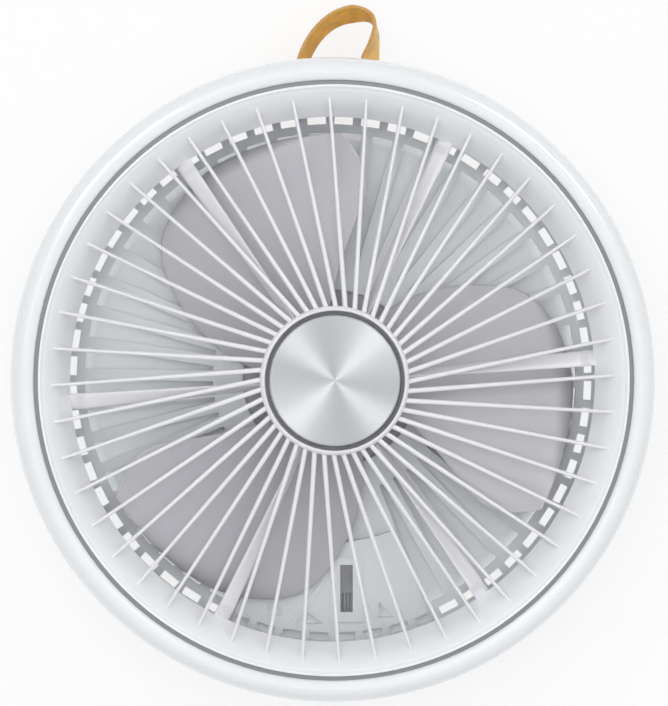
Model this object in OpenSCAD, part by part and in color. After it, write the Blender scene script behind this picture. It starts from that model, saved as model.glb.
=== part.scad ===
// Folding camping fan: a round fan head that lies folded over a battery base.
// The ring foot stands on z = 0, the fan axis is +Z and the air leaves upwards.
// +Y is the side of the hanging strap, -Y the side of the hinge.
// Clock angles are measured from +Y towards +X.

/* [Head] */
// Outside diameter of the head, across the bezel
head_d = 253; // [246:1:300]
// Depth of the head, from its back face to the crown of the bezel
head_depth = 45.5; // [45:0.5:56]
// Radial width of the bezel, outside the accent ring
bezel_w = 9.7; // [8:0.1:12]
// Radial width of the grey accent ring
accent_w = 1.6; // [1:0.1:2.4]
// Radial width of the bell mouth, from the accent ring in to the throat
mouth_w = 11.7; // [9.8:0.1:14]
// Wall of the moulded head parts
head_wall = 2.2; // [1.8:0.1:2.6]
// Radius of the rounded corner between the back and the side
corner_r = 14; // [12:0.5:16]

/* [Front grille] */
// Number of grille ribs
rib_count = 48; // [36:1:56]
// Width of one rib
rib_w = 1.8; // [1.2:0.1:2.4]
// Depth of one rib, front to back
rib_depth = 4.4; // [3:0.1:5]
// Distance by which each rib passes beside the fan axis
rib_offset = 6.2; // [0:0.1:10]
// Clock angle of the first rib
rib_phase = 3.3; // [0:0.1:7.5]
// Outside radius of the hub ring
hub_r = 29.1; // [28:0.1:36]
// Radial width of the hub ring
hub_ring_w = 1.9; // [1.5:0.1:3]
// Radial width of the trim ring round the aluminium disc
trim_w = 1; // [0.6:0.1:1.4]
// Number of stiffening spokes behind the ribs
spoke_count = 6; // [3:1:8]
// Width of a spoke at the throat
spoke_w = 5.4; // [3:0.1:8]
// Width of a spoke at the hub
spoke_tip_w = 2.4; // [1.6:0.1:4]
// Clock angle of the first spoke
spoke_phase = 25.2; // [0:0.1:60]

/* [Rear housing] */
// Number of radial window positions round the back
window_count = 48; // [36:1:60]
// Width of the bars between the windows
bar_w = 4.4; // [3:0.1:5]
// Clock angle of the first window
window_phase = 4.8; // [0:0.1:7.5]
// Inside radius of the windows
window_r1 = 47.6; // [45:0.1:56]
// Number of dash slots round the corner
dash_count = 60; // [48:1:64]
// Radial width of a dash slot
dash_w = 3.3; // [2:0.1:4]
// Length of a dash slot as an angle
dash_angle = 4.1; // [3:0.1:4.4]
// Clock angle of the first dash slot
dash_phase = 2.8; // [0:0.1:6]
// Half of the angle of the solid hinge sector
sector_half = 22.5; // [20:0.5:26]

/* [Impeller] */
// Number of blades
blade_count = 3; // [2:1:5]
// Gap between the blade tips and the throat
tip_gap = 6.4; // [3:0.1:9]
// Thickness of a blade at mid chord
blade_t = 1.8; // [1.2:0.1:2.4]
// Front to back rise of a blade
blade_rise = 18; // [12:0.5:19]
// Outside radius of the impeller hub
impeller_r = 28; // [27:0.1:33.6]

/* [Motor] */
// Shaft diameter
shaft_d = 5; // [3:0.5:6]
// Outside diameter of the two bearings
bearing_d = 11; // [10:0.5:13]
// Width of one bearing
bearing_w = 4; // [3:0.5:5]
// Number of stator teeth
tooth_count = 9; // [6:3:12]
// Stack height of the stator core
core_h = 9; // [6:0.5:10]

/* [Base] */
// Diameter of the base
base_d = 200; // [167:1:202]
// Height of the base without its feet
base_h = 29; // [28:0.5:36]
// Height of the ring foot below the base
foot_h = 2; // [1:0.1:4]
// Radial width of the ring foot
foot_w = 8; // [5:0.5:12]
// Wall of the moulded base parts
base_wall = 2.2; // [1.8:0.1:3]
// Gap between the base and the folded head
fold_gap = 3.5; // [3:0.1:6]
// Diameter of one battery cell
cell_d = 18.4; // [14:0.1:19]
// Length of one battery cell
cell_len = 65; // [50:1:70]
// Number of battery cells
cell_count = 4; // [2:1:4]
// Diameter of the press buttons
button_d = 9.6; // [8:0.1:11]
// Travel of the press buttons
button_travel = 1; // [0.5:0.1:1.5]

/* [Hinge] */
// Outside radius of the hinge barrel
barrel_r = 7; // [6:0.1:8.4]
// Half of the length of the head's knuckle
knuckle_half = 21.4; // [16:0.1:24]
// Width of each of the base's knuckles
ear_w = 11.7; // [8:0.1:14]
// Diameter of the hinge pin
pin_d = 6; // [4:0.1:8]
// Length of the bracket's plate under the head
plate_len = 34; // [28:0.5:40]

/* [Strap] */
// Width of the leather strap
strap_w = 12; // [8:0.5:13]
// Thickness of the leather strap
strap_t = 1.6; // [1.4:0.1:2.2]

/* [Hidden] */
$fn = 96;

eps = 0.01;
fit = 0.2;
run_fit = 0.05;

// Heights of the base and of the folded head
base_r = base_d / 2;
base_z0 = foot_h;
base_z1 = base_z0 + base_h;
floor_z = base_z0 + base_wall;
seam_z = base_z1 - 7;
head_z0 = base_z1 + fold_gap;
head_z1 = head_z0 + head_depth;

// Radii of the head, from the outside in
head_r = head_d / 2;
accent_r2 = head_r - bezel_w;
accent_r1 = accent_r2 - accent_w;
throat_r = accent_r1 - mouth_w;
tip_r = throat_r - tip_gap;
side_r = head_r - 3.5;
corner_c = side_r - 1 - corner_r;
boss_ring_r = accent_r1 - 4.6;
boss_r = 3.6;

// Bell mouth: a steep cone from the throat up to the lip; the ribs fall a little towards it
lip_w = 1.5;
lip_z = head_z1 - 2.8;
flare_w = mouth_w - lip_w - 0.5;
throat_z = head_z1 - 18;
flare_h = lip_z + 0.4 - throat_z;
flare_curve = 1.15;
flare_n = 14;
mouth_wall = 2;
rib_z1 = lip_z;
rib_z0 = rib_z1 - rib_depth;
rib_drop = 3.8;
hub_z1 = head_z1 - 1;
hub_floor_z = head_z1 - 4;
hub_floor_t = 2.2;
hub_in_r = hub_r - hub_ring_w;
trim_gap = 0.4;
trim_r2 = hub_in_r - trim_gap;
disc_r = trim_r2 - trim_w - trim_gap;
spoke_z0 = head_z1 - 14;
spoke_h = 7;
spoke_drop = 3.4;
spoke_end_h = 3.4;
hub_skirt_z = spoke_z0 - 0.6;

// Rear housing
back_z = head_z0 + head_wall;
joint_z = throat_z - 7;
rim_z = throat_z + 1.5;
dash_r2 = throat_r + 2.1;
dash_r1 = dash_r2 - dash_w;
window_r2 = dash_r1 - 3.3;
window_cut_r = 0.5;
centre_t = 3.4;
centre_r = impeller_r + 8.7;
centre_z = head_z0 + centre_t;
motor_screw_r = centre_r - 4.9;
pad_z = head_z0 + 6.5;
pocket_t = 2.4;
rib_on_pad = 0.9;
housing_screw_r = 1.45;
housing_head_r = 2.6;

// Hinge, in the plane x = 0
hinge_y = -(base_r + barrel_r + 2);
hinge_z = head_z0 - barrel_r - 1.5;
washer_t = 0.7;
ear_x0 = knuckle_half + washer_t + 2 * 0.1;
ear_x1 = ear_x0 + ear_w;
pin_r = pin_d / 2;
plate_t = 3;
plate_y0 = max(hinge_y + 3, 0.5 - corner_c);
plate_y1 = plate_y0 + plate_len;
pad_r1 = -plate_y1 - 6;
pad_r2 = -plate_y0 + 5.5;
slot_x = 6;
slot_w = 5;
slot_y0 = plate_y0 + 12;
slot_len = 19;
bracket_screw_y = [plate_y0 + 8, plate_y1 - 6];
bracket_screw_x = 15;

// Motor stack, upwards from the mount
mount_z0 = centre_z;
mount_z1 = mount_z0 + 2.2;
mount_r = centre_r - 1 - fit;
board_t = 1.6;
motor_board_z = mount_z1 + 0.6;
cup_z0 = motor_board_z + board_t + 0.9;
bearing_r = bearing_d / 2;
shaft_r = shaft_d / 2;
clip_z = mount_z1 + 0.2;
clip_t = 0.6;
rear_bearing_z = clip_z + clip_t + 0.1;
tube_r = bearing_r + fit / 4;
tube_wall_r = tube_r + 2.2;
core_z0 = cup_z0 + 3;
hub_wall = 2;
cup_r = impeller_r - hub_wall - fit;
cup_t = 1.2;
magnet_t = 2;
magnet_r1 = cup_r - cup_t - run_fit - magnet_t;
core_r = magnet_r1 - 0.5;
impeller_z0 = cup_z0 - 1.6;
impeller_z1 = hub_skirt_z - 1.4;
impeller_top_t = 2.5;
cup_z1 = impeller_z1 - impeller_top_t;
front_bearing_z = cup_z1 - cup_t - 2 - bearing_w;
nut_h = 3;
blade_z0 = head_z0 + 8.9;

// Base interior
tray_edge = 8;
cell_pitch = cell_d + 0.8;
holder_floor = 1;
cell_z = floor_z + holder_floor + 0.2 + cell_d / 2;
pack_w = cell_count * cell_pitch + 3;
pack_l = cell_len + 4;
lip_t = 2;
lip_h = 1.5;
cover_screw_r = base_r - 28;
cover_screw_angles = [35, 145, 215, 325];
foot_r2 = base_r - tray_edge - 4;
foot_r1 = foot_r2 - foot_w;
foot_pocket = 0.8;
facet_x = base_r - 1.8;
panel_in_x = facet_x - 2.7;
panel_half = 19;
panel_z = base_z0 + 12;
panel_h = 15;
button_y = 12;
button_r = button_d / 2;
button_proud = 0.8;
flange_t = 1.5;
flange_x1 = panel_in_x - 0.3;
flange_x0 = flange_x1 - flange_t;
stem_len = 2.2;
switch_tip_x = flange_x0 - stem_len - button_travel - 0.1;
switch_t = 3;
switch_tip = 1;
button_board_x1 = switch_tip_x - switch_tip - switch_t;
led_pitch = 3;
led_count = 4;
led_r = 1;
control_z = floor_z + 2.8;
control_half = 22;
control_x0 = -(panel_in_x - 1.5);
control_len = min(46, -control_x0 - pack_w / 2 - 3);
chip_x = control_x0 + control_len / 2 - 5;
can_r = 4;
can_x = control_x0 + min(control_len / 2 + 13, control_len - can_r - 1);
usb_w = 9;
usb_h = 3.2;
usb_len = 7.4;
anchor_half = 15;
anchor_y0 = base_r - 12;
anchor_y1 = base_r - base_wall - 1.2;
strap_x = 10.5;
strap_z = base_z0 + 12.5;

white = [0.93, 0.94, 0.95];
soft_white = [0.88, 0.89, 0.91];
blade_grey = [0.80, 0.81, 0.83];
accent_grey = [0.46, 0.47, 0.49];
rubber_black = [0.10, 0.10, 0.11];
leather = [0.78, 0.56, 0.26];
steel = [0.66, 0.67, 0.69];
board_green = [0.10, 0.34, 0.22];

// Turn children drawn along +Y to a clock angle
module clock(angle) {
    rotate(-angle) children();
}

// Place children at a polar position, with the angle from +X
module polar(radius, angle) {
    rotate(angle) translate([radius, 0, 0]) children();
}

// A plain tube standing on z
module tube(outer, inner, z0, z1) {
    difference() {
        translate([0, 0, z0]) cylinder(r = outer, h = z1 - z0);
        translate([0, 0, z0 - 1]) cylinder(r = inner, h = z1 - z0 + 2);
    }
}

// A block given by its lowest and highest corners
module block(low, high) {
    translate(low) cube(high - low);
}

// A machine screw that points up from z = 0, its head below
module screw(shank_r, shank_len, head_r, head_h) {
    socket_h = head_h * 0.55;
    translate([0, 0, -head_h]) difference() {
        union() {
            cylinder(r = head_r, h = head_h);
            translate([0, 0, socket_h + 0.2]) cylinder(r = shank_r, h = head_h - socket_h - 0.2 + shank_len);
        }
        translate([0, 0, -1]) cylinder(r = head_r * 0.42, h = 1 + socket_h, $fn = 6);
    }
}

// Points of an arc about a centre in a profile plane
function arc(cx, cy, rx, ry, a0, a1, n) =
    [for (i = [0:n]) let (a = a0 + (a1 - a0) * i / n) [cx + rx * cos(a), cy + ry * sin(a)]];

// ---------------------------------------------------------------- base

// Knuckle of the base: the barrel and its foot on the wall of the tray
module base_ear(x0, x1) {
    foot_y = -(base_r - 8.5);
    translate([x0, 0, 0]) rotate([90, 0, 90]) linear_extrude(x1 - x0)
        polygon([
            [hinge_y, hinge_z - barrel_r],
            [foot_y, base_z0 + 7],
            [foot_y, seam_z - lip_h - 0.3],
            [-(base_r - 3), seam_z - lip_h - 0.3],
            [-(base_r - 1), seam_z + 0.5],
            [hinge_y + 0.75 * barrel_r, hinge_z + 0.6 * barrel_r],
            [hinge_y, hinge_z + barrel_r]
        ]);
    translate([x0, hinge_y, hinge_z]) rotate([0, 90, 0]) cylinder(r = barrel_r, h = x1 - x0);
}

// The space inside the tray, less a margin at its round edge and wall
module tray_cavity(margin) {
    rotate_extrude()
        polygon(concat(
            [[0, seam_z + 1], [0, floor_z]],
            arc(base_r - tray_edge, base_z0 + tray_edge, tray_edge - base_wall - margin,
                tray_edge - base_wall, -90, 0, 10),
            [[base_r - base_wall - margin, seam_z + 1]]
        ));
}

// The tray: floor, rounded skirt and wall
module tray_body() {
    r_edge = tray_edge;
    rotate_extrude()
        polygon(concat(
            [[0, base_z0]],
            arc(base_r - r_edge, base_z0 + r_edge, r_edge, r_edge, -90, 0, 10),
            [[base_r, seam_z], [base_r - base_wall, seam_z]],
            arc(base_r - r_edge, base_z0 + r_edge, r_edge - base_wall, r_edge - base_wall, 0, -90, 10),
            [[0, floor_z]]
        ));
}

module base_shell() color(soft_white) {
    difference() {
        union() {
            tray_body();
            for (s = [-1, 1]) base_ear(s > 0 ? ear_x0 : -ear_x1, s > 0 ? ear_x1 : -ear_x0);
            // Pads that give the two side panels their thickness
            for (s = [-1, 1]) intersection() {
                block([s > 0 ? panel_in_x : -base_r, -panel_half - 6, base_z0 + 3],
                      [s > 0 ? base_r : -panel_in_x, panel_half + 6, seam_z - lip_h - 0.3]);
                translate([0, 0, base_z0]) cylinder(r = base_r - 0.5, h = base_h);
            }
            for (a = cover_screw_angles)
                polar(cover_screw_r, a) translate([0, 0, floor_z - 0.5])
                    cylinder(r = 4.2, h = seam_z - floor_z + 0.5);
            for (x = [0.15, 0.85], y = [-1, 1])
                translate([control_x0 + control_len * x, y * (control_half - 4), floor_z - 0.5])
                    cylinder(r = 2.6, h = control_z - floor_z + 0.5);
            // Grooved posts that hold the upright button board
            for (y = [-1, 1])
                block([button_board_x1 - board_t - 2, y > 0 ? 21 : -26, floor_z - 0.5],
                      [button_board_x1 + 2, y > 0 ? 26 : -21, seam_z - 4]);
        }
        for (a = cover_screw_angles) polar(cover_screw_r, a) {
            translate([0, 0, base_z0 - 1]) cylinder(r = 3.1, h = 11);
            cylinder(r = 1.7, h = seam_z + 1);
        }
        tube(foot_r2 + fit, foot_r1 - fit, base_z0 - 1, base_z0 + foot_pocket);
        for (x = [0.15, 0.85], y = [-1, 1])
            translate([control_x0 + control_len * x, y * (control_half - 4), floor_z])
                cylinder(r = 1.05, h = base_h);
        translate([-ear_x1 - 1, hinge_y, hinge_z]) rotate([0, 90, 0])
            cylinder(r = pin_r + run_fit, h = 2 * ear_x1 + 2);
        // Flat facets for the controls and for the charging socket
        for (s = [-1, 1])
            block([s > 0 ? facet_x : -base_r - 1, -panel_half - 1, panel_z - panel_h / 2],
                  [s > 0 ? base_r + 1 : -facet_x, panel_half + 1, panel_z + panel_h / 2]);
        for (y = [-button_y, button_y])
            translate([panel_in_x - 1, y, panel_z]) rotate([0, 90, 0])
                cylinder(r = button_r + 0.3, h = base_r);
        for (i = [0:led_count - 1])
            translate([panel_in_x - 1, (i - (led_count - 1) / 2) * led_pitch, panel_z])
                rotate([0, 90, 0]) cylinder(r = led_r + 0.1, h = base_r);
        translate([-base_r, 0, control_z + board_t + usb_h / 2]) rotate([90, 0, 90])
            linear_extrude(base_r - panel_in_x + 1) usb_outline(0.3);
        block([button_board_x1 - board_t - fit, -22.3, floor_z], [button_board_x1 + fit, 22.3, base_z1]);
        // Mouth of the strap in the rim
        block([-anchor_half - 0.5, base_r - 9, strap_z - strap_w / 2 - 0.5],
              [anchor_half + 0.5, base_r + 1, strap_z + strap_w / 2 + 0.5]);
    }
}

module base_cover() color(white) {
    r_edge = 6;
    difference() {
        union() {
            rotate_extrude()
                polygon(concat(
                    [[0, base_z1], [base_r - r_edge, base_z1]],
                    arc(base_r - r_edge, base_z1 - r_edge, r_edge, r_edge, 90, 0, 10),
                    [
                        [base_r, seam_z + 0.8], [base_r - 0.8, seam_z + 0.8], [base_r - 0.8, seam_z],
                        [base_r - base_wall - fit, seam_z], [base_r - base_wall - fit, seam_z - lip_h],
                        [base_r - base_wall - fit - lip_t, seam_z - lip_h]
                    ],
                    arc(base_r - r_edge - 0.9, base_z1 - r_edge, r_edge - base_wall - 0.5,
                        r_edge - base_wall, 0, 90, 6),
                    [[0, base_z1 - base_wall]]
                ));
            for (a = cover_screw_angles)
                polar(cover_screw_r, a) translate([0, 0, seam_z])
                    cylinder(r = 4, h = base_z1 - seam_z - 1);
        }
        for (a = cover_screw_angles)
            polar(cover_screw_r, a) translate([0, 0, seam_z - 1])
                cylinder(r = 1.5, h = base_z1 - seam_z - 1.5);
    }
}

module foot_ring() color(rubber_black) {
    rotate_extrude()
        polygon([
            [foot_r1 + 0.8, 0], [foot_r2 - 0.8, 0], [foot_r2, 0.6], [foot_r2, base_z0 + foot_pocket],
            [foot_r1, base_z0 + foot_pocket], [foot_r1, 0.6]
        ]);
}

module base_screws() color(steel) {
    for (a = cover_screw_angles)
        polar(cover_screw_r, a) translate([0, 0, base_z0 + 10]) screw(1.45, 15.5, 2.7, 2);
}

module battery_holder() color(rubber_black) {
    difference() {
        block([-pack_w / 2, -pack_l / 2, floor_z], [pack_w / 2, pack_l / 2, cell_z - 1]);
        for (i = [0:cell_count - 1])
            translate([(i - (cell_count - 1) / 2) * cell_pitch, cell_len / 2 + fit, cell_z])
                rotate([90, 0, 0]) cylinder(r = cell_d / 2 + fit, h = cell_len + 2 * fit);
    }
}

module battery_cells() color([0.20, 0.42, 0.70]) {
    for (i = [0:cell_count - 1])
        translate([(i - (cell_count - 1) / 2) * cell_pitch, cell_len / 2, cell_z])
            rotate([90, 0, 0]) {
                cylinder(r = cell_d / 2, h = cell_len - 1);
                cylinder(r = cell_d / 2 - 1.5, h = cell_len);
            }
}

module control_board() color(board_green) {
    difference() {
        block([control_x0, -control_half, control_z],
              [control_x0 + control_len, control_half, control_z + board_t]);
        for (x = [0.15, 0.85], y = [-1, 1])
            translate([control_x0 + control_len * x, y * (control_half - 4), control_z - 1])
                cylinder(r = 1.3, h = board_t + 2);
    }
    for (y = [-10, 2]) block([chip_x, y, control_z + board_t - eps],
                             [chip_x + 9, y + 8, control_z + board_t + 1.2]);
    for (y = [-6, 6]) translate([can_x, y, control_z + board_t - eps]) cylinder(r = can_r, h = 8);
}

module board_screws() color(steel) {
    for (x = [0.15, 0.85], y = [-1, 1])
        translate([control_x0 + control_len * x, y * (control_half - 4), control_z + board_t])
            mirror([0, 0, 1]) screw(1, board_t + 2, 1.9, 1.3);
}

// Outline of the charging socket, grown by a margin
module usb_outline(margin) {
    end_x = (usb_w - usb_h) / 2;
    translate([-end_x, 0]) circle(r = usb_h / 2 + margin);
    translate([end_x, 0]) circle(r = usb_h / 2 + margin);
    square([2 * end_x, usb_h + 2 * margin], center = true);
}

module usb_socket() color(steel) {
    depth = facet_x - panel_in_x + usb_len;
    translate([-facet_x + 0.3, 0, control_z + board_t + usb_h / 2]) rotate([90, 0, 90])
        difference() {
            linear_extrude(depth - 0.3) usb_outline(0);
            translate([0, 0, -1]) linear_extrude(depth - 2) usb_outline(-0.35);
        }
    block([-facet_x + 1, -3.3, control_z + board_t + usb_h / 2 - 0.35],
          [-facet_x + depth - 0.5, 3.3, control_z + board_t + usb_h / 2 + 0.35]);
}

module button_board() color(board_green) {
    block([button_board_x1 - board_t, -22, floor_z + 0.1], [button_board_x1, 22, seam_z - 4.5]);
}

module tact_switches() color(rubber_black) {
    for (y = [-button_y, button_y]) {
        block([button_board_x1, y - 3, panel_z - 3], [button_board_x1 + switch_t, y + 3, panel_z + 3]);
        translate([button_board_x1 + switch_t - eps, y, panel_z]) rotate([0, 90, 0])
            cylinder(r = 1.7, h = switch_tip + eps);
    }
}

module light_pipes() color([0.95, 0.97, 1.0]) {
    for (i = [0:led_count - 1])
        translate([button_board_x1, (i - (led_count - 1) / 2) * led_pitch, panel_z])
            rotate([0, 90, 0]) cylinder(r = led_r, h = facet_x - 0.1 - button_board_x1);
}

// A button: cap, retaining flange and stem, pressed along -X
module press_button(y) {
    cap_len = facet_x + button_proud - flange_x1;
    translate([flange_x1, y, panel_z]) rotate([90, 0, 90])
        rotate_extrude()
            polygon(concat(
                [[0, -flange_t - stem_len], [1.5, -flange_t - stem_len], [1.5, -flange_t]],
                [[button_r + 1.3, -flange_t], [button_r + 1.3, 0], [button_r, 0]],
                [[button_r, cap_len - 0.6], [button_r - 0.25, cap_len - 0.15], [button_r - 0.7, cap_len]],
                [[0, cap_len - 0.35]]
            ));
}

module power_button() color(white) press_button(button_y);

module speed_button() color(white) press_button(-button_y);

module strap_anchor() color(rubber_black) {
    difference() {
        intersection() {
            block([-anchor_half, anchor_y0, floor_z], [anchor_half, anchor_y1, seam_z - lip_h - 0.5]);
            tray_cavity(0.1);
        }
        for (s = [-1, 1])
            block([s * strap_x - strap_t / 2 - 0.3, anchor_y0 + 1, strap_z - strap_w / 2 - 0.3],
                  [s * strap_x + strap_t / 2 + 0.3, anchor_y1 + 1, strap_z + strap_w / 2 + 0.3]);
    }
}

// Centre line of the strap: two cubic arcs between straight ends in the anchor
strap_start = [-strap_x, anchor_y0 + 1.4];
strap_rim_l = [-strap_x, anchor_y1 + 0.6];
strap_rim_r = [strap_x, anchor_y1 + 0.6];
strap_top = [9.5, base_r + 48.9];
strap_left_c = [[-18.8, base_r + 22], [-7.6, base_r + 47]];
strap_right_c = [[28, base_r + 49.4], [14.6, base_r + 31.5]];

function bezier(p0, p1, p2, p3, t) =
    pow(1 - t, 3) * p0 + 3 * pow(1 - t, 2) * t * p1 + 3 * (1 - t) * t * t * p2 + pow(t, 3) * p3;

strap_arc_n = 18;
strap_path = concat(
    [strap_start],
    [for (i = [0:strap_arc_n])
        bezier(strap_rim_l, strap_left_c[0], strap_left_c[1], strap_top, i / strap_arc_n)],
    [for (i = [1:strap_arc_n])
        bezier(strap_top, strap_right_c[0], strap_right_c[1], strap_rim_r, i / strap_arc_n)],
    [[strap_x, anchor_y0 + 1.4]]
);

// Lean of the strap out of upright, positive towards the inside of the loop. The strap leaves the
// anchor upright, opens outwards up to its top and turns over on its way down.
strap_leans = [
    [0.05, 0], [0.26, -21], [0.4, -24], [0.5, -28], [0.62, 0],
    [0.66, 7], [0.74, 20], [0.78, 29], [0.84, 26], [0.95, 0]
];
function strap_lean(u) = lookup(u, strap_leans);

function strap_dir(i) =
    let (n = len(strap_path), d = strap_path[min(i + 1, n - 1)] - strap_path[max(i - 1, 0)]) d / norm(d);

// Four corners of the strap's section at point i
function strap_ring(i) =
    let (
        p = strap_path[i],
        d = strap_dir(i),
        side = [d[1], -d[0], 0],
        lean = strap_lean(i / (len(strap_path) - 1)),
        up = [side[0] * sin(lean), side[1] * sin(lean), cos(lean)],
        out = [side[0] * cos(lean), side[1] * cos(lean), -sin(lean)],
        c = [p[0], p[1], strap_z]
    )
    [for (k = [[-1, -1], [1, -1], [1, 1], [-1, 1]]) c + k[0] * strap_t / 2 * out + k[1] * strap_w / 2 * up];

module hanging_strap() color(leather) {
    n = len(strap_path);
    points = [for (i = [0:n - 1]) each strap_ring(i)];
    sides = [for (i = [0:n - 2], k = [0:3])
        let (a = i * 4 + k, b = i * 4 + (k + 1) % 4) each [[a, b, b + 4], [a, b + 4, a + 4]]];
    polyhedron(points, concat([[3, 2, 1, 0]], sides, [[for (k = [0:3]) (n - 1) * 4 + k]]), convexity = 6);
}

// --------------------------------------------------------------- hinge

module hinge_pin() color(steel) {
    translate([-ear_x1, hinge_y, hinge_z]) rotate([0, 90, 0])
        difference() {
            cylinder(r = pin_r, h = 2 * ear_x1);
            translate([0, 0, -1]) cylinder(r = pin_r - 1.2, h = 2 * ear_x1 + 2);
        }
}

module friction_washers() color(steel) {
    for (s = [-1, 1])
        translate([s * (knuckle_half + 0.1 + washer_t / 2), hinge_y, hinge_z]) rotate([0, 90, 0])
            difference() {
                cylinder(r = barrel_r - 0.6, h = washer_t, center = true);
                cylinder(r = pin_r + run_fit, h = washer_t + 1, center = true);
            }
}

module hinge_caps() color(white) {
    for (s = [0, 1]) mirror([s, 0, 0])
        translate([ear_x1, hinge_y, hinge_z]) rotate([90, 0, 90])
            rotate_extrude()
                polygon([
                    [0, -4], [pin_r - 1.2 - run_fit, -4], [pin_r - 1.2 - run_fit, 0],
                    [barrel_r - 0.2, 0], [barrel_r - 0.5, 0.9], [barrel_r - 2, 1.5], [0, 1.8]
                ]);
}

module hinge_bracket() color(soft_white) {
    difference() {
        union() {
            translate([-knuckle_half, hinge_y, hinge_z]) rotate([0, 90, 0])
                cylinder(r = barrel_r, h = 2 * knuckle_half);
            translate([-knuckle_half, 0, 0]) rotate([90, 0, 90]) linear_extrude(2 * knuckle_half)
                polygon([
                    [hinge_y - barrel_r, hinge_z], [hinge_y - barrel_r, hinge_z + 0.75 * barrel_r],
                    [hinge_y - 3, head_z0 - 0.4], [plate_y0, head_z0 - 0.4], [plate_y0, head_z0 + plate_t],
                    [plate_y1, head_z0 + plate_t], [plate_y1, head_z0], [-(base_r - 6), head_z0],
                    [-(base_r + 1.5), head_z0 - 2.6], [-(base_r + 2.6), hinge_z]
                ]);
        }
        translate([-knuckle_half - 1, hinge_y, hinge_z]) rotate([0, 90, 0])
            cylinder(r = pin_r + run_fit, h = 2 * knuckle_half + 2);
        for (x = [-1, 1], y = bracket_screw_y) translate([x * bracket_screw_x, y, head_z0]) {
            translate([0, 0, -4]) cylinder(r = 2.9, h = 4 + 1.8);
            cylinder(r = 1.65, h = plate_t + 1);
        }
    }
}

module bracket_screws() color(steel) {
    for (x = [-1, 1], y = bracket_screw_y)
        translate([x * bracket_screw_x, y, head_z0 + 1.8]) screw(1.45, 3.8, 2.6, 1.6);
}

// ------------------------------------------------------------ fan head

// One radial window between two bars of constant width
module window_cut() {
    half_in = PI * window_r1 / window_count - bar_w / 2;
    half_out = PI * window_r2 / window_count - bar_w / 2;
    translate([0, 0, head_z0 - 1]) linear_extrude(head_wall + 2)
        polygon([
            [-half_in, window_r1], [half_in, window_r1], [half_out, window_r2 - window_cut_r],
            [half_out - window_cut_r, window_r2], [window_cut_r - half_out, window_r2],
            [-half_out, window_r2 - window_cut_r]
        ]);
}

module dash_cut(z, h) {
    half = dash_r2 * sin(dash_angle / 2);
    translate([0, 0, z]) linear_extrude(h)
        polygon([[-half, dash_r1], [half, dash_r1], [half, dash_r2], [-half, dash_r2]]);
}

// The bowl: flat back, rounded corner and side wall up to the rim
module bowl() {
    corner_z = head_z0 + corner_r;
    inner = corner_r - head_wall;
    rotate_extrude()
        polygon(concat(
            [[0, head_z0]],
            arc(corner_c, corner_z, corner_r, corner_r, -90, 0, 14),
            [
                [side_r, rim_z - 2], [side_r, rim_z],
                [side_r - head_wall, rim_z], [side_r - head_wall, rim_z - 3]
            ],
            arc(corner_c, corner_z, inner, inner, 0, -90, 14),
            [
                [centre_r + 0.6, back_z], [centre_r + 0.6, pad_z],
                [centre_r - 1, pad_z], [centre_r - 1, centre_z], [0, centre_z]
            ]
        ));
}

// Solid sector that carries the hinge, thickened inside
module hinge_pad() {
    intersection() {
        difference() {
            translate([0, 0, head_z0 + 0.5]) cylinder(r = pad_r2, h = pad_z - head_z0 - 0.5);
            translate([0, 0, head_z0]) cylinder(r = pad_r1, h = 20);
        }
        translate([0, 0, head_z0]) linear_extrude(20)
            polygon([
                [0, 0],
                [-2 * head_r * sin(sector_half), -2 * head_r * cos(sector_half)],
                [2 * head_r * sin(sector_half), -2 * head_r * cos(sector_half)]
            ]);
    }
}

// Raised frame round the lead slot and gussets out to the corner
module pad_ribs() {
    z1 = pad_z + rib_on_pad;
    block([slot_x - slot_w / 2 - 4, slot_y0 - 4, pad_z - 0.5],
          [slot_x + slot_w / 2 + 4, slot_y0 + slot_len + 3, z1]);
    for (s = [-1, 1]) translate([slot_x * 0.5 + s * 17, slot_y0 - 2, 0]) rotate(s * 38)
        block([-1, -9, pad_z - 0.5], [1, 18, z1]);
}

// Lightening pocket in the hinge pad, measured from the bracket's end and cut off along one side
module pad_pocket(at, size, slant) {
    translate([at[0], plate_y0 + 6 + at[1], pad_z - pocket_t]) linear_extrude(pocket_t + 3)
        polygon([[0, 0], [size[0], 0], [size[0] - slant, size[1]], [0, size[1]]]);
}

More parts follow.
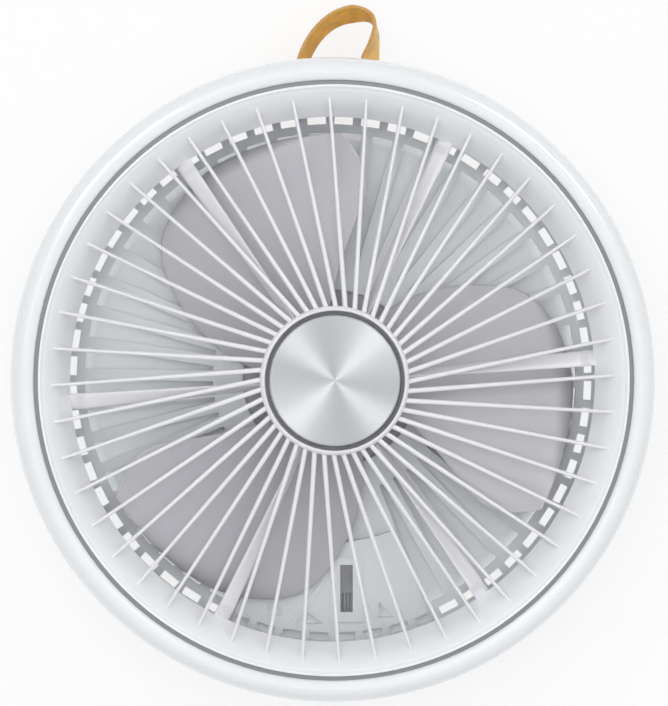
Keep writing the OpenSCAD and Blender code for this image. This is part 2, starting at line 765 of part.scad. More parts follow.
module rear_housing() color(soft_white) {
    difference() {
        union() {
            bowl();
            hinge_pad();
            pad_ribs();
            for (i = [0:5]) clock(30 + 60 * i) translate([0, boss_ring_r, head_z0 + 1.5])
                cylinder(r = boss_r, h = joint_z - head_z0 - 1.5);
        }
        for (i = [0:window_count - 1]) {
            angle = window_phase + i * 360 / window_count;
            if (abs(angle - 180) > sector_half) clock(angle) window_cut();
        }
        // Dashes: open all round, and blind on the hinge pad
        for (i = [0:dash_count - 1]) {
            angle = dash_phase + i * 360 / dash_count;
            if (abs(angle - 180) > sector_half) clock(angle) dash_cut(head_z0 - 1, head_wall + 2);
            else clock(angle) dash_cut(pad_z - pocket_t, pocket_t + 2);
        }
        pad_pocket([-25.4, 4.8], [5.6, 5], 1.6);
        pad_pocket([-10.6, 1.4], [7, 5], 6.4);
        pad_pocket([19, 3.8], [6, 6], 5.4);
        for (i = [0:5]) clock(30 + 60 * i) translate([0, boss_ring_r, head_z0 - 1]) {
            cylinder(r = housing_head_r + 0.15, h = 5);
            cylinder(r = housing_screw_r + 0.1, h = joint_z - head_z0 + 2);
        }
        for (i = [0:2]) clock(60 + 120 * i) translate([0, motor_screw_r, head_z0 - 1]) {
            cylinder(r = 2.8, h = 2.9);
            cylinder(r = 1.6, h = 6);
        }
        // Pocket of the hinge bracket, its screw holes and the lead slot
        block([-knuckle_half - fit, plate_y0 - fit, head_z0 - 1],
              [knuckle_half + fit, plate_y1 + fit, head_z0 + plate_t + 0.05]);
        for (x = [-1, 1], y = bracket_screw_y)
            translate([x * bracket_screw_x, y, head_z0]) cylinder(r = 1.5, h = plate_t + 2.8);
        block([slot_x - slot_w / 2, slot_y0, head_z0], [slot_x + slot_w / 2, slot_y0 + slot_len, pad_z + 2]);
    }
}

module housing_screws() color(steel) {
    for (i = [0:5]) clock(30 + 60 * i) translate([0, boss_ring_r, head_z0 + 4])
        screw(housing_screw_r, joint_z - head_z0 + 4, housing_head_r, 2);
}

module lead_grommet() color(rubber_black) {
    low = head_z0 + plate_t + 0.05;
    half = slot_w / 2 - 0.1;
    difference() {
        translate([slot_x + half, 0, 0]) rotate([90, 0, -90]) linear_extrude(2 * half)
            polygon([
                [-slot_y0 - 0.1, low], [-slot_y0 - 0.1, low + 1.3],
                [-slot_y0 - slot_len + 0.1, pad_z - 0.3], [-slot_y0 - slot_len + 0.1, low]
            ]);
        // Grooves that grip the leads
        for (i = [-1:1]) block([slot_x + i * 1.4 - 0.3, slot_y0 - 1, low + 0.6],
                               [slot_x + i * 1.4 + 0.3, slot_y0 + slot_len * 0.4, pad_z + 1]);
    }
}

module motor_mount() color([0.16, 0.16, 0.17]) {
    difference() {
        union() {
            translate([0, 0, mount_z0]) cylinder(r = mount_r, h = mount_z1 - mount_z0);
            translate([0, 0, mount_z0]) cylinder(r = tube_wall_r + 1, h = core_z0 - mount_z0);
            translate([0, 0, mount_z0]) cylinder(r = tube_wall_r, h = front_bearing_z + bearing_w - mount_z0);
            for (i = [0:2]) clock(60 + 120 * i) translate([0, motor_screw_r, mount_z0])
                cylinder(r = 3.2, h = cup_z0 - 1 - mount_z0);
            for (i = [0:2]) clock(120 * i) translate([0, 18, mount_z0])
                cylinder(r = 2.5, h = motor_board_z - mount_z0);
        }
        translate([0, 0, mount_z1]) cylinder(r = tube_r, h = head_depth);
        for (i = [0:2]) clock(60 + 120 * i) translate([0, motor_screw_r, mount_z0 - 1])
            cylinder(r = 1.5, h = cup_z0 - mount_z0 - 0.5);
    }
}

module motor_screws() color(steel) {
    for (i = [0:2]) clock(60 + 120 * i) translate([0, motor_screw_r, head_z0 + 1.9])
        screw(1.45, cup_z0 - 2 - head_z0 - 1.9, 2.6, 1.7);
}

module motor_board() color(board_green) {
    difference() {
        tube(core_r + 1, tube_wall_r + 1.3, motor_board_z, motor_board_z + board_t);
        translate([0, 0, motor_board_z - 1]) cylinder(r = tube_wall_r + 1.3, h = 4);
    }
}

// Outline of one stator tooth pointing along +Y, with its curved pole shoe
module tooth_outline() {
    shoe_angle = 360 / tooth_count * 0.42;
    translate([-2, tube_wall_r + 2]) square([4, core_r - tube_wall_r - 3]);
    intersection() {
        difference() {
            circle(r = core_r);
            circle(r = core_r - 2);
        }
        polygon([
            [0, 0],
            [-2 * core_r * sin(shoe_angle), 2 * core_r * cos(shoe_angle)],
            [2 * core_r * sin(shoe_angle), 2 * core_r * cos(shoe_angle)]
        ]);
    }
}

module stator_core() color(steel) {
    translate([0, 0, core_z0]) linear_extrude(core_h) {
        difference() {
            circle(r = tube_wall_r + 3.5);
            circle(r = tube_wall_r + fit / 4);
        }
        for (i = [0:tooth_count - 1]) clock(i * 360 / tooth_count) tooth_outline();
    }
}

module stator_coils() color([0.72, 0.42, 0.20]) {
    for (i = [0:tooth_count - 1]) clock(i * 360 / tooth_count)
        difference() {
            block([-3.3, tube_wall_r + 4.6, core_z0 - 1.4], [3.3, core_r - 2.6, core_z0 + core_h + 1.4]);
            block([-2.15, 0, core_z0 - 0.15], [2.15, core_r, core_z0 + core_h + 0.15]);
        }
}

// A shielded ball bearing as one ring with grooved faces
module bearing(z) {
    translate([0, 0, z]) rotate_extrude()
        polygon([
            [shaft_r + run_fit, 0], [shaft_r + 1.1, 0], [shaft_r + 1.1, 0.25], [bearing_r - 1, 0.25],
            [bearing_r - 1, 0], [bearing_r, 0], [bearing_r, bearing_w], [bearing_r - 1, bearing_w],
            [bearing_r - 1, bearing_w - 0.25], [shaft_r + 1.1, bearing_w - 0.25],
            [shaft_r + 1.1, bearing_w], [shaft_r + run_fit, bearing_w]
        ]);
}

module rear_bearing() color(steel) bearing(rear_bearing_z);

module front_bearing() color(steel) bearing(front_bearing_z);

// ---------------------------------------------------------- front parts

// Inner face of the bell mouth, from the throat up to the lip
function flare(inset, n) =
    [for (i = [0:n]) let (u = i / n)
        [throat_r + inset + (flare_w - inset) * u,
         throat_z + (flare_h - inset) * (1 - pow(1 - u, flare_curve))]];

// Height of the middle of the mouth's wall at a radius
function mouth_mid_z(r) =
    let (inset = mouth_wall / 2, u = max(0, r - throat_r - inset) / (flare_w - inset))
    throat_z + (flare_h - inset) * (1 - pow(1 - u, flare_curve));

function reversed(list) = [for (i = [len(list) - 1:-1:0]) list[i]];

module mouth_ring() {
    rotate_extrude()
        polygon(concat(
            flare(0, flare_n),
            [
                [accent_r1 - lip_w, lip_z + 0.9], [accent_r1 - 1.2, lip_z + 1.7],
                [accent_r1 - 0.7, lip_z + 2], [accent_r1 - 0.2, lip_z + 1.7], [accent_r1, lip_z + 1],
                [accent_r1, joint_z + 8], [accent_r1 - 2, joint_z + 8], [accent_r1 - 2, lip_z - 2]
            ],
            reversed(flare(mouth_wall, flare_n))
        ));
}

// The space inside the middle of the mouth's wall, which trims ribs and spokes
module mouth_core() {
    rotate_extrude()
        polygon(concat([[0, throat_z]], flare(mouth_wall / 2, flare_n), [[0, head_z1]]));
}

module grille_rib() {
    y0 = sqrt(pow(hub_r - 1, 2) - pow(rib_offset, 2));
    y1 = sqrt(pow(accent_r1, 2) - pow(rib_offset, 2));
    w = rib_w / 2;
    fall = atan(rib_drop / (y1 - y0));
    translate([rib_offset, y1, rib_z0 - rib_drop]) rotate([90 - fall, 0, 0])
        linear_extrude((y1 - y0) / cos(fall))
            polygon([
                [-w * 0.75, 0], [w * 0.75, 0], [w, rib_depth * 0.5], [w, rib_depth - w * 0.7],
                [w * 0.7, rib_depth - w * 0.2], [w * 0.3, rib_depth], [-w * 0.3, rib_depth],
                [-w * 0.7, rib_depth - w * 0.2], [-w, rib_depth - w * 0.7], [-w, rib_depth * 0.5]
            ]);
}

// Stator vane: a slanted bar, cut to a narrow wedge in plan and to a low end at the throat
module grille_spoke() {
    y0 = hub_r - 1;
    y1 = throat_r + 4;
    w = spoke_w / 2;
    fall = atan(spoke_drop / (y1 - y0));
    intersection() {
        translate([0, 0, throat_z - 5]) linear_extrude(head_z1 - throat_z)
            polygon([[-spoke_tip_w / 2, y0], [spoke_tip_w / 2, y0], [w, y1], [-w, y1]]);
        translate([w + 1, 0, 0]) rotate([90, 0, -90]) linear_extrude(2 * w + 2)
            polygon([
                [-y0, spoke_z0 - 1], [-y1, spoke_z0 - spoke_drop - 1],
                [-y1, spoke_z0 - spoke_drop + spoke_end_h], [-y0, spoke_z0 + spoke_h]
            ]);
        translate([0, y1, spoke_z0 - spoke_drop]) rotate([90 - fall, 0, 0])
            linear_extrude((y1 - y0) / cos(fall))
                polygon([
                    [-w - 1, 0], [w * 0.3, 0], [w + 1, spoke_h - 1.6], [w + 1, spoke_h],
                    [w * 0.35, spoke_h], [-w, 1.6], [-w - 1, 1.6]
                ]);
    }
}

module hub_cup() {
    floor_z0 = hub_floor_z - hub_floor_t;
    rotate_extrude()
        polygon([
            [0, floor_z0], [hub_in_r - 0.6, floor_z0], [hub_in_r - 0.6, hub_skirt_z], [hub_r, hub_skirt_z],
            [hub_r, hub_z1 - 0.6], [hub_r - 0.5, hub_z1], [hub_in_r + 0.4, hub_z1], [hub_in_r, hub_z1 - 0.4],
            [hub_in_r, hub_floor_z], [0, hub_floor_z]
        ]);
}

module front_grille() color(white) {
    difference() {
        union() {
            mouth_ring();
            hub_cup();
            intersection() {
                mouth_core();
                union() {
                    for (i = [0:rib_count - 1]) clock(rib_phase + i * 360 / rib_count) grille_rib();
                    for (i = [0:spoke_count - 1]) clock(spoke_phase + i * 360 / spoke_count) grille_spoke();
                }
            }
            for (i = [0:5]) clock(30 + 60 * i) translate([0, boss_ring_r, joint_z])
                cylinder(r = boss_r, h = mouth_mid_z(boss_ring_r - boss_r) - joint_z);
        }
        for (i = [0:5]) clock(30 + 60 * i) translate([0, boss_ring_r, joint_z - 1])
            cylinder(r = housing_screw_r + 0.05, h = 10);
    }
}

module accent_ring() color(accent_grey) {
    rotate_extrude()
        polygon([
            [accent_r1 + 0.05, lip_z - 7], [accent_r2 - 0.05, lip_z - 7],
            [accent_r2 - 0.05, lip_z + 0.4], [accent_r1 + 0.05, lip_z + 0.4]
        ]);
}

module bezel_ring() color(white) {
    crown_r = head_r - 6.2;
    mid_z = head_z1 - 13.5;
    leg_z = rim_z + fit;
    rotate_extrude()
        polygon(concat(
            [[accent_r2, lip_z - 7], [accent_r2, head_z1 - 2.2]],
            arc(crown_r, head_z1 - 2.2, crown_r - accent_r2, 2.2, 180, 96, 5),
            arc(crown_r, mid_z, 6.2, 13.5, 90, -46, 24),
            arc(crown_r, mid_z, 4, 11.3, -42, 84, 20),
            [
                [crown_r - 0.2, head_z1 - 5], [crown_r - 0.2, leg_z], [accent_r1 + 0.3, leg_z],
                [accent_r1 + 0.3, lip_z - 7 - run_fit], [accent_r2, lip_z - 7 - run_fit]
            ]
        ));
}

module hub_trim() color(accent_grey) {
    rotate_extrude()
        polygon([
            [disc_r + trim_gap, hub_floor_z], [trim_r2, hub_floor_z], [trim_r2, hub_z1 - 0.7],
            [trim_r2 - 0.2, hub_z1 - 0.5], [disc_r + trim_gap + 0.2, hub_z1 - 0.5],
            [disc_r + trim_gap, hub_z1 - 0.7]
        ]);
}

module hub_disc() color([0.80, 0.81, 0.82]) {
    rotate_extrude()
        polygon([
            [0, hub_floor_z], [disc_r, hub_floor_z], [disc_r, hub_z1 - 0.5], [disc_r - 0.5, hub_z1 - 0.1],
            [0, hub_z1 - 0.3]
        ]);
}

// ---------------------------------------------------------------- rotor

// Clock angle of the rear, leading edge of the first blade at a radius
blade_root = 35;
function lead_edge(r) =
    let (s = (r - impeller_r) / (tip_r - impeller_r), c = max(0, (s - 0.61) / 0.39))
    blade_root + 37 * s + 19 * pow(c, 5);

// Clock angle of the front, trailing edge of the first blade at a radius
function trail_edge(r) =
    let (s = (r - impeller_r) / (tip_r - impeller_r))
    s < 0.7 ? 130 - 13 * pow(max(0, (0.7 - s) / 0.7), 1.5) : 130 - 8 * pow((s - 0.7) / 0.3, 1.5);

blade_nr = 16;
blade_nc = 14;
blade_root_r = impeller_r - hub_wall / 2;

// Radius stations, closer together towards the tip
function blade_radius(i) = blade_root_r + (tip_r - blade_root_r) * (1 - pow(1 - i / blade_nr, 1.5));

// Point of the blade's skin; side is 1 on the front face, -1 on the back
function blade_point(i, j, side) =
    let (
        r = blade_radius(i),
        u = j / blade_nc,
        a = 90 - (lead_edge(r) + (trail_edge(r) - lead_edge(r)) * u),
        span = (r - blade_root_r) / (tip_r - blade_root_r),
        rise = blade_rise * (1 - 0.12 * span),
        z = blade_z0 + blade_t / 2 + rise * u - 2.2 * sin(180 * u) * (1 - 0.3 * span),
        t = blade_t * (0.45 + 0.55 * sin(180 * u)) * (1 - 0.25 * span)
    )
    [r * cos(a), r * sin(a), z + 2.2 * span * u + side * t / 2];

module blade() {
    row = blade_nc + 1;
    count = (blade_nr + 1) * row;
    front = [for (i = [0:blade_nr], j = [0:blade_nc]) blade_point(i, j, 1)];
    back = [for (i = [0:blade_nr], j = [0:blade_nc]) blade_point(i, j, -1)];
    function at(i, j) = i * row + j;
    skin = [for (i = [0:blade_nr - 1], j = [0:blade_nc - 1]) each [
        [at(i, j), at(i + 1, j), at(i + 1, j + 1)], [at(i, j), at(i + 1, j + 1), at(i, j + 1)],
        [count + at(i, j), count + at(i + 1, j + 1), count + at(i + 1, j)],
        [count + at(i, j), count + at(i, j + 1), count + at(i + 1, j + 1)]
    ]];
    chord = [for (j = [0:blade_nc - 1]) each [
        [at(0, j), at(0, j + 1), count + at(0, j + 1)], [at(0, j), count + at(0, j + 1), count + at(0, j)],
        [at(blade_nr, j + 1), at(blade_nr, j), count + at(blade_nr, j)],
        [at(blade_nr, j + 1), count + at(blade_nr, j), count + at(blade_nr, j + 1)]
    ]];
    edges = [for (i = [0:blade_nr - 1]) each [
        [at(i + 1, 0), at(i, 0), count + at(i, 0)], [at(i + 1, 0), count + at(i, 0), count + at(i + 1, 0)],
        [at(i, blade_nc), at(i + 1, blade_nc), count + at(i + 1, blade_nc)],
        [at(i, blade_nc), count + at(i + 1, blade_nc), count + at(i, blade_nc)]
    ]];
    polyhedron(concat(front, back), concat(skin, chord, edges), convexity = 6);
}

module impeller() color(blade_grey) {
    difference() {
        union() {
            rotate_extrude()
                polygon(concat(
                    [
                        [shaft_r + run_fit, impeller_z1], [shaft_r + run_fit, cup_z1],
                        [impeller_r - hub_wall, cup_z1], [impeller_r - hub_wall, impeller_z0],
                        [impeller_r, impeller_z0]
                    ],
                    arc(impeller_r - 3, impeller_z1 - 3, 3, 3, 0, 90, 6)
                ));
            for (i = [0:blade_count - 1]) rotate(-i * 360 / blade_count) blade();
        }
        translate([0, 0, impeller_z0 - 1]) cylinder(r = impeller_r - hub_wall, h = cup_z1 - impeller_z0 + 1);
    }
}

module rotor_cup() color(steel) {
    rotate_extrude()
        polygon([
            [shaft_r + run_fit, cup_z1], [cup_r - 1, cup_z1], [cup_r, cup_z1 - 1], [cup_r, cup_z0],
            [cup_r - cup_t, cup_z0], [cup_r - cup_t, cup_z1 - cup_t], [shaft_r + run_fit, cup_z1 - cup_t]
        ]);
}

module magnet_ring() color([0.22, 0.22, 0.24]) {
    tube(magnet_r1 + magnet_t, magnet_r1, core_z0 - 1, core_z0 + core_h + 1);
}

module motor_shaft() color(steel) {
    translate([0, 0, clip_z]) cylinder(r = shaft_r, h = impeller_z1 + nut_h + 0.8 - clip_z);
}

module shaft_clip() color(steel) {
    tube(shaft_r + 1.8, shaft_r + run_fit, clip_z, clip_z + clip_t);
}

module impeller_nut() color(steel) {
    difference() {
        translate([0, 0, impeller_z1]) cylinder(r = 4.6, h = nut_h, $fn = 6);
        translate([0, 0, impeller_z1 - 1]) cylinder(r = shaft_r + run_fit, h = nut_h + 2);
    }
}

base_shell();
base_cover();
foot_ring();
base_screws();
battery_holder();
battery_cells();
control_board();
usb_socket();
board_screws();
button_board();
tact_switches();
light_pipes();
power_button();
speed_button();
strap_anchor();
hanging_strap();
hinge_pin();
friction_washers();
hinge_caps();
rear_housing();
housing_screws();
hinge_bracket();
bracket_screws();
lead_grommet();
motor_mount();
motor_screws();
motor_board();
stator_core();
stator_coils();
rear_bearing();
front_bearing();
front_grille();
accent_ring();
bezel_ring();
hub_trim();
hub_disc();
impeller();
rotor_cup();
magnet_ring();
motor_shaft();
shaft_clip();
impeller_nut();
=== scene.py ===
# Portable camping fan, folded down flat over its round base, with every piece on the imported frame.
# All sizes are in metres unless a name ends in _mm. Z is up, +Y is the side of the leather strap.
import bmesh
import bpy
import math
from mathutils import Matrix, Vector


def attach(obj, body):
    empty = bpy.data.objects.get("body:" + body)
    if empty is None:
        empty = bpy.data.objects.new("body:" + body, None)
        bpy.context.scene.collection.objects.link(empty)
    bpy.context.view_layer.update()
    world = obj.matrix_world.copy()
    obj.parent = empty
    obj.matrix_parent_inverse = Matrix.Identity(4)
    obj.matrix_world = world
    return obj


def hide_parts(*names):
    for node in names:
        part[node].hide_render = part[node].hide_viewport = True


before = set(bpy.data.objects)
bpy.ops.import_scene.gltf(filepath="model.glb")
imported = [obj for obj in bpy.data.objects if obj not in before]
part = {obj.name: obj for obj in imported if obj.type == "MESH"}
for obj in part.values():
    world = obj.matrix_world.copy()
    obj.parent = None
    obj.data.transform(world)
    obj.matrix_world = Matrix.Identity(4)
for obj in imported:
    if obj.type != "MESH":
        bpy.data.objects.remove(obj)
bpy.context.view_layer.update()


# ---- Bench, camera and lamps
# The fan lies on a pale bench and is looked at from straight above, a little left of its middle.
# Three broad soft lamps hang above it, the middle one unseen in gloss. Two more add only the gleam on
# metal and gloss, and a white room fills in the rest.
camera = bpy.data.objects.new("camera", bpy.data.cameras.new("camera"))
bpy.context.scene.collection.objects.link(camera)
bpy.context.scene.camera = camera
camera.location = (-0.040, 0.028, 1.180)
looked_at = Vector((-0.0004, 0.0108, 0.080))
back = (camera.location - looked_at).normalized()
right = Vector((0, 1, 0)).cross(back).normalized()
camera.rotation_mode = "QUATERNION"
camera.rotation_quaternion = Matrix((right, back.cross(right), back)).transposed().to_quaternion()
camera.data.lens = 144.7
camera.data.sensor_width = 36
camera.data.clip_end = 20


def put(tree, kind, wired=(), **settings):
    """Add a node. wired maps input names or numbers to values, or to sockets that feed them."""
    node = tree.nodes.new(kind)
    for name, value in settings.items():
        setattr(node, name, value)
    for key, value in dict(wired).items():
        if isinstance(value, bpy.types.NodeSocket):
            tree.links.new(value, node.inputs[key])
        else:
            node.inputs[key].default_value = value
    return node


def white_to_eye(tree):
    """How much a ray that ends in the eye, a mirror or a lens is to see plain white."""
    ray = put(tree, "ShaderNodeLightPath").outputs
    seen = put(tree, "ShaderNodeMath", {0: ray["Is Camera Ray"], 1: ray["Is Glossy Ray"]},
               operation="MAXIMUM")
    return put(tree, "ShaderNodeMath", {0: seen.outputs[0], 1: ray["Is Transmission Ray"]},
               operation="MAXIMUM").outputs[0]


room = bpy.data.worlds.new("white room")
bpy.context.scene.world = room
room.use_nodes = True
room.node_tree.nodes.clear()
fill = put(room.node_tree, "ShaderNodeBackground", {"Color": (0.985, 0.99, 1, 1), "Strength": 0.64})
plain = put(room.node_tree, "ShaderNodeBackground", {"Color": (1, 1, 1, 1), "Strength": 1})
both = put(room.node_tree, "ShaderNodeMixShader",
           {0: white_to_eye(room.node_tree), 1: fill.outputs[0], 2: plain.outputs[0]})
put(room.node_tree, "ShaderNodeOutputWorld", {"Surface": both.outputs[0]})

for name, spot, side, watts, on_matt, in_gloss in (
    ("lamp_left", (-0.50, 0.60, 1.75), 1.0, 5, True, True),
    ("lamp_right", (0.95, 0.75, 1.30), 0.8, 2, True, True),
    ("lamp_front", (-0.05, 0.04, 1.45), 0.5, 4, True, False),
    ("gleam_left", (-0.90, 0.90, 1.30), 0.6, 15, False, True),
    ("gleam_right", (0.90, 0.90, 1.30), 0.6, 17, False, True),
):
    lamp = bpy.data.objects.new(name, bpy.data.lights.new(name, "AREA"))
    bpy.context.scene.collection.objects.link(lamp)
    lamp.location = spot
    lamp.rotation_mode = "QUATERNION"
    lamp.rotation_quaternion = (Vector((0, 0, 0.05)) - Vector(spot)).to_track_quat("-Z", "Y")
    lamp.data.size = side
    lamp.data.energy = watts
    lamp.visible_diffuse = on_matt
    lamp.visible_glossy = in_gloss

bench_mesh = bpy.data.meshes.new("bench")
reach = 9
corners = [(-reach, -reach, 0), (reach, -reach, 0), (reach, reach, 0), (-reach, reach, 0)]
bench_mesh.from_pydata(corners, [], [(0, 1, 2, 3)])
bench = bpy.data.objects.new("bench", bench_mesh)
bpy.context.scene.collection.objects.link(bench)
bench_paint = bpy.data.materials.new("bench paint")
bench_paint.use_nodes = True
bench_tree = bench_paint.node_tree
bench_tree.nodes.clear()
matt = put(bench_tree, "ShaderNodeBsdfDiffuse", {"Color": (0.98, 0.98, 0.98, 1)})
glow = put(bench_tree, "ShaderNodeEmission", {"Color": (1, 1, 1, 1), "Strength": 1})
whitened = 0.72  # the rest of the bench's tone is its paint, which keeps the fan's shadow
share = put(bench_tree, "ShaderNodeMath", {0: white_to_eye(bench_tree), 1: whitened}, operation="MULTIPLY")
blended = put(bench_tree, "ShaderNodeMixShader",
              {0: share.outputs[0], 1: matt.outputs[0], 2: glow.outputs[0]})
put(bench_tree, "ShaderNodeOutputMaterial", {"Surface": blended.outputs[0]})
bench_mesh.materials.append(bench_paint)

bpy.context.scene.view_settings.view_transform = "Standard"


# ---- Base tray and its lid
# The tray and the lid of the round base are injection moulded in ABS. The tray has a fine satin
# face, the lid is a shade whiter, and the two meet at a shadow gap round the rim.
def effect(name, takes, gives):
    """A shader node group. takes and gives list its sockets as (label, kind).

    Returns its tree, the sockets it takes and the sockets it gives.
    """
    tree = bpy.data.node_groups.new(name, "ShaderNodeTree")
    for way, sockets in (("INPUT", takes), ("OUTPUT", gives)):
        for label, kind in sockets:
            tree.interface.new_socket(label, in_out=way, socket_type="NodeSocket" + kind)
    return tree, tree.nodes.new("NodeGroupInput").outputs, tree.nodes.new("NodeGroupOutput").inputs


def sum_of(tree, a, b, operation="MULTIPLY", c=None):
    """One arithmetic node on two or three values or sockets."""
    wired = {0: a, 1: b} if c is None else {0: a, 1: b, 2: c}
    return put(tree, "ShaderNodeMath", wired, operation=operation).outputs[0]


def tinted(tree, colour, factor):
    """A colour made lighter or darker by a factor near 1."""
    return put(tree, "ShaderNodeVectorMath", {0: colour, "Scale": factor}, operation="SCALE").outputs[0]


def dented(tree, shader, height, depth):
    """Feed a height that changes over the surface to the shader's normal."""
    bump = put(tree, "ShaderNodeBump", {"Height": height, "Distance": depth})
    tree.links.new(bump.outputs["Normal"], shader.inputs["Normal"])


def dulled(tree, shader, mask, swing, least):
    """Roughness that rises from its least value with a mask."""
    tree.links.new(sum_of(tree, mask, swing, "MULTIPLY_ADD", least), shader.inputs["Roughness"])


moulded, takes, gives = effect(
    "moulded face",
    [("Colour", "Color"), ("Mottle", "Float"), ("Grain", "Float"), ("Roughness", "Float")],
    [("Colour", "Color"), ("Roughness", "Float"), ("Height", "Float")],
)
spot = put(moulded, "ShaderNodeTexCoord").outputs["Object"]
flow = put(moulded, "ShaderNodeTexNoise", {"Vector": spot, "Scale": 22, "Detail": 3, "Distortion": 0.6})
peel = put(moulded, "ShaderNodeTexNoise", {"Vector": spot, "Scale": 260, "Detail": 1})
fine = put(moulded, "ShaderNodeTexVoronoi", {"Vector": spot, "Scale": takes["Grain"]})
smudge = put(moulded, "ShaderNodeTexNoise", {"Vector": spot, "Scale": 60, "Detail": 4, "Roughness": 0.7})
drift = sum_of(moulded, sum_of(moulded, flow.outputs["Fac"], 0.5, "SUBTRACT"), takes["Mottle"])
moulded.links.new(tinted(moulded, takes["Colour"], sum_of(moulded, drift, 1, "ADD")), gives["Colour"])
rub = sum_of(moulded, sum_of(moulded, smudge.outputs["Fac"], 0.5, "SUBTRACT"), 0.16)
moulded.links.new(sum_of(moulded, takes["Roughness"], rub, "ADD"), gives["Roughness"])
skin = sum_of(moulded, fine.outputs["Distance"], 0.35, "MULTIPLY_ADD", peel.outputs["Fac"])
moulded.links.new(skin, gives["Height"])


def surface(name, **fixed):
    """A new material, its tree and its Principled shader. fixed sets plain sockets of that shader."""
    material = bpy.data.materials.new(name)
    material.use_nodes = True
    tree = material.node_tree
    shader = tree.nodes["Principled BSDF"]
    for socket, value in fixed.items():
        shader.inputs[socket.replace("_", " ")].default_value = value
    return material, tree, shader


def plastic(name, colour, roughness, grain=2200, mottle=0.05, relief=0.00004, **fixed):
    """Moulded plastic of one resin colour, with its grain in the tool's face and slow flow marks."""
    material, tree, shader = surface(name, **fixed)
    face = put(tree, "ShaderNodeGroup", node_tree=moulded)
    for label, value in (("Colour", (*colour, 1)), ("Mottle", mottle), ("Grain", grain),
                         ("Roughness", roughness)):
        face.inputs[label].default_value = value
    tree.links.new(face.outputs["Colour"], shader.inputs["Base Color"])
    tree.links.new(face.outputs["Roughness"], shader.inputs["Roughness"])
    dented(tree, shader, face.outputs["Height"], relief)
    return material


def coat(material, *names):
    """Give CAD nodes one finish."""
    for name in names:
        part[name].data.materials.clear()
        part[name].data.materials.append(material)


satin_white = plastic("satin white ABS", (0.82, 0.845, 0.87), 0.42, IOR=1.53)
lid_white = plastic("lid white ABS", (0.865, 0.885, 0.895), 0.34, grain=3000, IOR=1.53)
coat(satin_white, "base_shell")
coat(lid_white, "base_cover")


# ---- Foot ring
# One soft rubber ring is pressed into a groove of the tray's floor and keeps the base from sliding.
def rubber(name, colour, roughness=0.62):
    """Moulded rubber: dull, with talc left in its pores."""
    material, tree, shader = surface(name, IOR=1.51)
    spot = put(tree, "ShaderNodeTexCoord").outputs["Object"]
    pores = put(tree, "ShaderNodeTexNoise",
                {"Vector": spot, "Scale": 1400, "Detail": 4, "Roughness": 0.65})
    bloom = put(tree, "ShaderNodeTexNoise", {"Vector": spot, "Scale": 55, "Detail": 4})
    lift = sum_of(tree, sum_of(tree, bloom.outputs["Fac"], 0.9), 0.6, "ADD")
    tree.links.new(tinted(tree, colour, lift), shader.inputs["Base Color"])
    dulled(tree, shader, pores.outputs["Fac"], 0.2, roughness - 0.1)
    dented(tree, shader, pores.outputs["Fac"], 0.0001)
    return material


foot_rubber = rubber("foot rubber", (0.055, 0.055, 0.060))
coat(foot_rubber, "foot_ring")


# ---- Screws of the base
# Zinc plated self-tapping screws hold the lid on the tray's posts and the boards on theirs.
def plated(name, colour, roughness, streak=900, **fixed):
    """Plated or ground steel with fine tool streaks."""
    material, tree, shader = surface(name, Metallic=1.0, **fixed)
    spot = put(tree, "ShaderNodeTexCoord").outputs["Object"]
    stretch = put(tree, "ShaderNodeMapping", {"Vector": spot, "Scale": (1, 1, 12)})
    marks = put(tree, "ShaderNodeTexNoise", {"Vector": stretch.outputs[0], "Scale": streak, "Detail": 3})
    haze = put(tree, "ShaderNodeTexNoise", {"Vector": spot, "Scale": 180, "Detail": 2})
    lift = sum_of(tree, sum_of(tree, haze.outputs["Fac"], 0.24), 0.88, "ADD")
    tree.links.new(tinted(tree, colour, lift), shader.inputs["Base Color"])
    dulled(tree, shader, marks.outputs["Fac"], 0.22, roughness - 0.11)
    dented(tree, shader, marks.outputs["Fac"], 0.00002)
    return material


zinc = plated("zinc plate", (0.60, 0.60, 0.62), 0.34)
bright = plated("bright steel", (0.58, 0.59, 0.60), 0.22)
coat(zinc, "board_screws")


def shaped(shape, sharp=32):
    """Close up a bmesh: faces outwards, shaded smooth up to an angle in degrees."""
    bmesh.ops.recalc_face_normals(shape, faces=shape.faces)
    mesh = bpy.data.meshes.new("shape")
    shape.to_mesh(mesh)
    shape.free()
    mesh.shade_smooth()
    mesh.set_sharp_from_angle(angle=math.radians(sharp))
    return mesh


def turned(outline_mm, steps=160, sharp=32):
    """A solid turned about the Z axis from a closed outline of (radius, height) points."""
    shape = bmesh.new()
    rings = []
    for k in range(steps):
        c, s = math.cos(2 * math.pi * k / steps), math.sin(2 * math.pi * k / steps)
        rings.append([shape.verts.new((r * c / 1000, r * s / 1000, z / 1000)) for r, z in outline_mm])
    for k in range(steps):
        here, there = rings[k], rings[(k + 1) % steps]
        for i in range(len(outline_mm)):
            j = (i + 1) % len(outline_mm)
            if outline_mm[i][0] > 0 or outline_mm[j][0] > 0:
                shape.faces.new((here[i], there[i], there[j], here[j]))
    bmesh.ops.remove_doubles(shape, verts=shape.verts, dist=1e-7)
    return shaped(shape, sharp)


